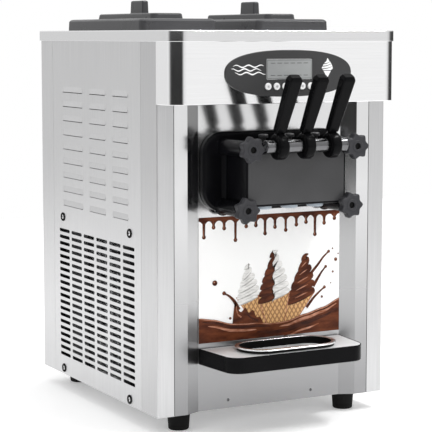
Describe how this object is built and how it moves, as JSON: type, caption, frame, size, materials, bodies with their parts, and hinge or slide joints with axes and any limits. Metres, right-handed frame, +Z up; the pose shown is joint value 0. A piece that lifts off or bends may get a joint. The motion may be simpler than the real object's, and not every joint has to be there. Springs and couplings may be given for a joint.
{
  "type": "soft serve machine",
  "caption": "Countertop soft serve freezer: pull levers lift valve plungers over a drip tray, with lidded mix hoppers, louvred steel casing and belt-driven beaters inside.",
  "frame": {"origin": "centre of the bounding box in plan, at the plane the feet stand on", "axes": "+Z up, +Y from the dispensing front to the rear panel, +X to the right seen from the front"},
  "size_m": [0.5456, 0.8078, 0.8825],
  "materials": {
    "casing_steel": "fine vertical satin grain",
    "polished_steel": "mirror polished stainless",
    "cover_steel": "fine satin polish",
    "black_plastic": "gloss moulded",
    "charcoal_plastic": "satin moulded",
    "grey_plastic": "fine moulded texture",
    "button_white": "satin",
    "display_glass": "clear gloss over a grey display",
    "poster_print": "printed film, satin laminate",
    "nozzle_plastic": "translucent food grade, satin",
    "rubber": "matte moulded",
    "painted_parts": "black stove enamel",
    "fin_aluminium": "mill finish fins",
    "circuit_board": "green solder resist"
  },
  "bodies": {
    "root": {"base_pan": "casing_steel", "beater_gearbox": "painted_parts", "cable_gland": "black_plastic", "compressor": "painted_parts", "condenser": "fin_aluminium", "control_bezel": "charcoal_plastic", "control_board": "circuit_board", "display_lens": "display_glass", "drip_shelf": "black_plastic", "drive_belt": "rubber", "drive_motor": "painted_parts", "fan_motor": "painted_parts", "foot_front_left": "rubber", "foot_front_right": "rubber", "foot_rear_left": "rubber", "foot_rear_right": "rubber", "front_panel": "polished_steel", "head_cover": "cover_steel", "left_freezing_cylinder": "casing_steel", "left_front_post": "casing_steel", "left_hopper": "casing_steel", "left_nozzle": "nozzle_plastic", "left_side_panel": "casing_steel", "middle_nozzle": "nozzle_plastic", "pivot_rod": "polished_steel", "poster_sheet": "poster_print", "rear_panel": "casing_steel", "right_freezing_cylinder": "casing_steel", "right_front_post": "casing_steel", "right_hopper": "casing_steel", "right_nozzle": "nozzle_plastic", "right_side_panel": "casing_steel", "shelf_plate": "polished_steel", "top_cap": "cover_steel", "valve_block": "black_plastic", "valve_gasket": "rubber"},
    "left_lever": {"left_lever": "black_plastic"},
    "left_plunger": {"left_plunger": "charcoal_plastic"},
    "middle_lever": {"middle_lever": "black_plastic"},
    "middle_plunger": {"middle_plunger": "charcoal_plastic"},
    "right_lever": {"right_lever": "black_plastic"},
    "right_plunger": {"right_plunger": "charcoal_plastic"},
    "left_beater": {"left_beater": "casing_steel"},
    "right_beater": {"right_beater": "casing_steel"},
    "gearbox_pulley": {"gearbox_pulley": "painted_parts"},
    "motor_pulley": {"motor_pulley": "painted_parts"},
    "condenser_fan": {"condenser_fan": "charcoal_plastic"},
    "left_hopper_lid": {"left_hopper_lid": "charcoal_plastic"},
    "right_hopper_lid": {"right_hopper_lid": "charcoal_plastic"},
    "lower_left_star_knob": {"lower_left_star_knob": "grey_plastic"},
    "lower_right_star_knob": {"lower_right_star_knob": "grey_plastic"},
    "upper_left_star_knob": {"upper_left_star_knob": "grey_plastic"},
    "upper_right_star_knob": {"upper_right_star_knob": "grey_plastic"},
    "button_1": {"button_1": "button_white"},
    "button_2": {"button_2": "button_white"},
    "button_3": {"button_3": "button_white"},
    "button_4": {"button_4": "button_white"},
    "button_5": {"button_5": "button_white"},
    "button_6": {"button_6": "button_white"},
    "drip_tray": {"drip_tray": "polished_steel"}
  },
  "joints": [
    {"name": "left_lever_pull", "type": "hinge", "parent": "root", "child": "left_lever", "pos_m": [-0.061, -0.3371, 0.588], "axis": [1, 0, 0], "range_deg": [0, 35]},
    {"name": "left_plunger_lift", "type": "slide", "parent": "root", "child": "left_plunger", "axis": [0, 0, 1], "range_m": [0, 0.042]},
    {"name": "middle_lever_pull", "type": "hinge", "parent": "root", "child": "middle_lever", "pos_m": [0, -0.3371, 0.588], "axis": [1, 0, 0], "range_deg": [0, 35]},
    {"name": "middle_plunger_lift", "type": "slide", "parent": "root", "child": "middle_plunger", "axis": [0, 0, 1], "range_m": [0, 0.042]},
    {"name": "right_lever_pull", "type": "hinge", "parent": "root", "child": "right_lever", "pos_m": [0.061, -0.3371, 0.588], "axis": [1, 0, 0], "range_deg": [0, 35]},
    {"name": "right_plunger_lift", "type": "slide", "parent": "root", "child": "right_plunger", "axis": [0, 0, 1], "range_m": [0, 0.042]},
    {"name": "left_beater_spin", "type": "hinge", "parent": "root", "child": "left_beater", "pos_m": [-0.078, 0.1169, 0.526], "axis": [0, 1, 0], "continuous": true},
    {"name": "right_beater_spin", "type": "hinge", "parent": "root", "child": "right_beater", "pos_m": [0.078, 0.1169, 0.526], "axis": [0, 1, 0], "continuous": true},
    {"name": "gearbox_pulley_spin", "type": "hinge", "parent": "root", "child": "gearbox_pulley", "pos_m": [0, 0.1949, 0.526], "axis": [0, 1, 0], "continuous": true},
    {"name": "motor_pulley_spin", "type": "hinge", "parent": "root", "child": "motor_pulley", "pos_m": [0, 0.1949, 0.288], "axis": [0, 1, 0], "continuous": true},
    {"name": "condenser_fan_spin", "type": "hinge", "parent": "root", "child": "condenser_fan", "pos_m": [-0.19, 0.0969, 0.228], "axis": [1, 0, 0], "continuous": true},
    {"name": "left_lid_lift", "type": "slide", "parent": "root", "child": "left_hopper_lid", "axis": [0, 0, 1], "range_m": [0, 0.15]},
    {"name": "right_lid_lift", "type": "slide", "parent": "root", "child": "right_hopper_lid", "axis": [0, 0, 1], "range_m": [0, 0.15]},
    {"name": "lower_left_knob_turn", "type": "hinge", "parent": "root", "child": "lower_left_star_knob", "pos_m": [-0.1215, -0.3201, 0.461], "axis": [0, 1, 0], "range_deg": [0, 720]},
    {"name": "lower_right_knob_turn", "type": "hinge", "parent": "root", "child": "lower_right_star_knob", "pos_m": [0.1215, -0.3201, 0.461], "axis": [0, 1, 0], "range_deg": [0, 720]},
    {"name": "upper_left_knob_turn", "type": "hinge", "parent": "root", "child": "upper_left_star_knob", "pos_m": [-0.1215, -0.3401, 0.583], "axis": [0, 1, 0], "range_deg": [0, 720]},
    {"name": "upper_right_knob_turn", "type": "hinge", "parent": "root", "child": "upper_right_star_knob", "pos_m": [0.1215, -0.3401, 0.583], "axis": [0, 1, 0], "range_deg": [0, 720]},
    {"name": "button_1_press", "type": "slide", "parent": "root", "child": "button_1", "axis": [0, 1, 0], "range_m": [0, 0.0015], "stiffness_N_per_m": 300},
    {"name": "button_2_press", "type": "slide", "parent": "root", "child": "button_2", "axis": [0, 1, 0], "range_m": [0, 0.0015], "stiffness_N_per_m": 300},
    {"name": "button_3_press", "type": "slide", "parent": "root", "child": "button_3", "axis": [0, 1, 0], "range_m": [0, 0.0015], "stiffness_N_per_m": 300},
    {"name": "button_4_press", "type": "slide", "parent": "root", "child": "button_4", "axis": [0, 1, 0], "range_m": [0, 0.0015], "stiffness_N_per_m": 300},
    {"name": "button_5_press", "type": "slide", "parent": "root", "child": "button_5", "axis": [0, 1, 0], "range_m": [0, 0.0015], "stiffness_N_per_m": 300},
    {"name": "button_6_press", "type": "slide", "parent": "root", "child": "button_6", "axis": [0, 1, 0], "range_m": [0, 0.0015], "stiffness_N_per_m": 300},
    {"name": "drip_tray_lift", "type": "slide", "parent": "root", "child": "drip_tray", "axis": [0, 0, 1], "range_m": [0, 0.06]}
  ],
  "couplings": [
    {"joint": "left_plunger_lift", "follows": "left_lever_pull", "m_per_rad": 0.063},
    {"joint": "middle_plunger_lift", "follows": "middle_lever_pull", "m_per_rad": 0.063},
    {"joint": "right_plunger_lift", "follows": "right_lever_pull", "m_per_rad": 0.063},
    {"joint": "right_beater_spin", "follows": "left_beater_spin", "ratio": 1},
    {"joint": "gearbox_pulley_spin", "follows": "left_beater_spin", "ratio": 4},
    {"joint": "motor_pulley_spin", "follows": "left_beater_spin", "ratio": 8.5714}
  ]
}
